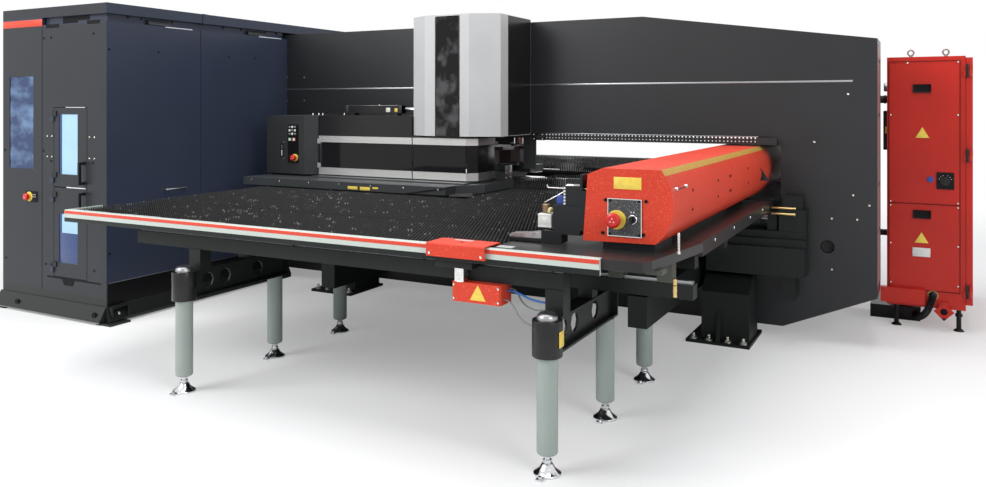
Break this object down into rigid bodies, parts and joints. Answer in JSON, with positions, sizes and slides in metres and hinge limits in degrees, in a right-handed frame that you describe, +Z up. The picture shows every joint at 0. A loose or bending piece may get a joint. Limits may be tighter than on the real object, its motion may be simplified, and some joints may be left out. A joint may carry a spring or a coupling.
{
  "type": "cnc turret punch press",
  "caption": "Bridge-frame turret punch press with brush table, cross carriage with work clamps, tool changer cabinet and electrical cabinet.",
  "frame": {"origin": "on the floor under the middle of the whole machine's bounding box", "axes": "+X along the bridge frame from the tool changer cabinet to the electrical cabinet, +Y along the table through the throat away from the operator, +Z up"},
  "size_m": [6.68, 6.524, 2.3],
  "materials": {
    "frame_paint": "satin",
    "silver_cover": "satin",
    "black_glass": "gloss",
    "cabinet_glass": "gloss",
    "guard_glass": "gloss",
    "motor_paint": "satin",
    "steel": "satin",
    "chrome_steel": "gloss",
    "bearing_brass": "satin",
    "rail_silver": "satin",
    "red_paint": "satin",
    "band_black": "satin",
    "box_paint": "satin",
    "panel_grey": "satin",
    "button_green": "gloss",
    "button_red": "gloss",
    "table_grey": "satin",
    "bristle": "matt",
    "strip_grey": "satin",
    "bumper_grey": "satin",
    "leg_paint": "satin",
    "stand_paint": "satin",
    "plate_dark": "satin",
    "knob_black": "gloss",
    "clamp_dark": "satin",
    "jaw_steel": "satin",
    "valve_white": "gloss",
    "cable_rubber": "satin",
    "changer_paint": "satin",
    "cabinet_paint": "satin",
    "deck_paint": "satin",
    "hose_black": "satin"
  },
  "bodies": {
    "machine": {"bridge_frame": "frame_paint", "frame_feet": "stand_paint", "anchor_bolts": "steel", "head_cover": "silver_cover", "head_window": "black_glass", "servo_motor": "motor_paint", "jaw_bearings": "bearing_brass", "guard_fixed_frame": "rail_silver", "guard_upper_band": "band_black", "guard_window": "guard_glass", "turret_deck": "deck_paint", "control_box": "box_paint", "control_panel": "panel_grey", "fixed_tables": "table_grey", "fixed_brushes": "bristle", "table_legs": "leg_paint", "leg_feet": "chrome_steel", "table_stand": "stand_paint", "guide_rails": "steel", "drive_unit": "stand_paint", "junction_box": "red_paint", "stand_cables": "cable_rubber", "changer_cabinet": "changer_paint", "changer_front_window": "cabinet_glass", "electrical_cabinet": "cabinet_paint", "cabinet_panels": "cabinet_paint", "cabinet_hoses": "hose_black"},
    "carriage": {"moving_strips": "strip_grey", "strip_brushes": "bristle", "edge_bumpers": "bumper_grey", "rail_blocks": "steel", "carriage_beam": "clamp_dark", "carriage_cover": "red_paint", "carriage_switch_plate": "plate_dark", "sheet_locator": "red_paint"},
    "cross_saddle": {"saddle": "clamp_dark", "clamp_bodies": "clamp_dark", "clamp_valve": "valve_white"},
    "jaws": {"clamp_jaws": "jaw_steel"},
    "upper_ring": {"upper_turret": "steel", "punches": "steel"},
    "lower_ring": {"lower_turret": "steel", "dies": "steel"},
    "punch_ram": {"ram": "chrome_steel"},
    "screw": {"ballscrew": "steel"},
    "turret_door": {"guard_door": "rail_silver", "guard_door_window": "guard_glass"},
    "changer_top_door": {"changer_upper_door": "changer_paint", "upper_door_window": "cabinet_glass"},
    "changer_bottom_door": {"changer_lower_door": "changer_paint", "lower_door_window": "cabinet_glass"},
    "cabinet_door": {"cabinet_side_door": "cabinet_paint"},
    "changer_stop": {"changer_estop": "button_red"},
    "control_stop_head": {"control_estop": "button_red"},
    "carriage_stop_head": {"carriage_estop": "button_red"},
    "start_button": {"control_start_button": "button_green"},
    "stop_button": {"control_stop_button": "button_red"},
    "carriage_selector": {"selector_knob": "knob_black"},
    "switch_handle": {"main_switch": "knob_black"},
    "pin": {"locator_pin": "steel"}
  },
  "joints": [
    {"name": "carriage_travel", "type": "slide", "parent": "machine", "child": "carriage", "axis": [1, 0, 0], "range_m": [-1.05, 0]},
    {"name": "saddle_travel", "type": "slide", "parent": "carriage", "child": "cross_saddle", "axis": [0, 1, 0], "range_m": [0, 3.05]},
    {"name": "jaw_open", "type": "hinge", "parent": "cross_saddle", "child": "jaws", "pos_m": [1.525, -2.12, 0.968], "axis": [0, 1, 0], "range_deg": [0, 8]},
    {"name": "upper_turret_turn", "type": "hinge", "parent": "machine", "child": "upper_ring", "pos_m": [-0.554, 0, 1.1], "axis": [0, 0, 1], "continuous": true},
    {"name": "lower_turret_turn", "type": "hinge", "parent": "machine", "child": "lower_ring", "pos_m": [-0.554, 0, 0.85], "axis": [0, 0, 1], "continuous": true},
    {"name": "ram_stroke", "type": "slide", "parent": "machine", "child": "punch_ram", "axis": [0, 0, -1], "range_m": [0, 0.014]},
    {"name": "screw_turn", "type": "hinge", "parent": "machine", "child": "screw", "pos_m": [1.4, -0.66, 0.815], "axis": [1, 0, 0], "continuous": true},
    {"name": "turret_door_hinge", "type": "hinge", "parent": "machine", "child": "turret_door", "pos_m": [-1.281, -1.152, 1.16], "axis": [0, 0, 1], "range_deg": [-85, 0]},
    {"name": "changer_top_door_hinge", "type": "hinge", "parent": "machine", "child": "changer_top_door", "pos_m": [-2.701, -2.468, 1.25], "axis": [0, 0, 1], "range_deg": [-110, 0]},
    {"name": "changer_bottom_door_hinge", "type": "hinge", "parent": "machine", "child": "changer_bottom_door", "pos_m": [-2.701, -2.468, 0.6], "axis": [0, 0, 1], "range_deg": [-110, 0]},
    {"name": "cabinet_door_hinge", "type": "hinge", "parent": "machine", "child": "cabinet_door", "pos_m": [3.326, 0.106, 1], "axis": [0, 0, 1], "range_deg": [-110, 0]},
    {"name": "changer_stop_press", "type": "slide", "parent": "machine", "child": "changer_stop", "axis": [0, 1, 0], "range_m": [0, 0.005], "stiffness_N_per_m": 800, "springref_m": -0.002},
    {"name": "control_stop_press", "type": "slide", "parent": "machine", "child": "control_stop_head", "axis": [0, 1, 0], "range_m": [0, 0.005], "stiffness_N_per_m": 800, "springref_m": -0.002},
    {"name": "carriage_stop_press", "type": "slide", "parent": "carriage", "child": "carriage_stop_head", "axis": [0, 1, 0], "range_m": [0, 0.005], "stiffness_N_per_m": 800, "springref_m": -0.002},
    {"name": "start_press", "type": "slide", "parent": "machine", "child": "start_button", "axis": [0, 1, 0], "range_m": [0, 0.003], "stiffness_N_per_m": 600, "springref_m": -0.002},
    {"name": "stop_press", "type": "slide", "parent": "machine", "child": "stop_button", "axis": [0, 1, 0], "range_m": [0, 0.003], "stiffness_N_per_m": 600, "springref_m": -0.002},
    {"name": "selector_turn", "type": "hinge", "parent": "carriage", "child": "carriage_selector", "pos_m": [1.943, -2.95, 1.069], "axis": [0, 1, 0], "range_deg": [-45, 45]},
    {"name": "main_switch_turn", "type": "hinge", "parent": "machine", "child": "switch_handle", "pos_m": [3.175, 0.1, 1.04], "axis": [0, 1, 0], "range_deg": [0, 90]},
    {"name": "locator_rise", "type": "slide", "parent": "carriage", "child": "pin", "axis": [0, 0, 1], "range_m": [0, 0.03]}
  ],
  "couplings": [
    {"joint": "lower_turret_turn", "follows": "upper_turret_turn", "ratio": 1},
    {"joint": "screw_turn", "follows": "carriage_travel", "rad_per_m": 251.33}
  ]
}
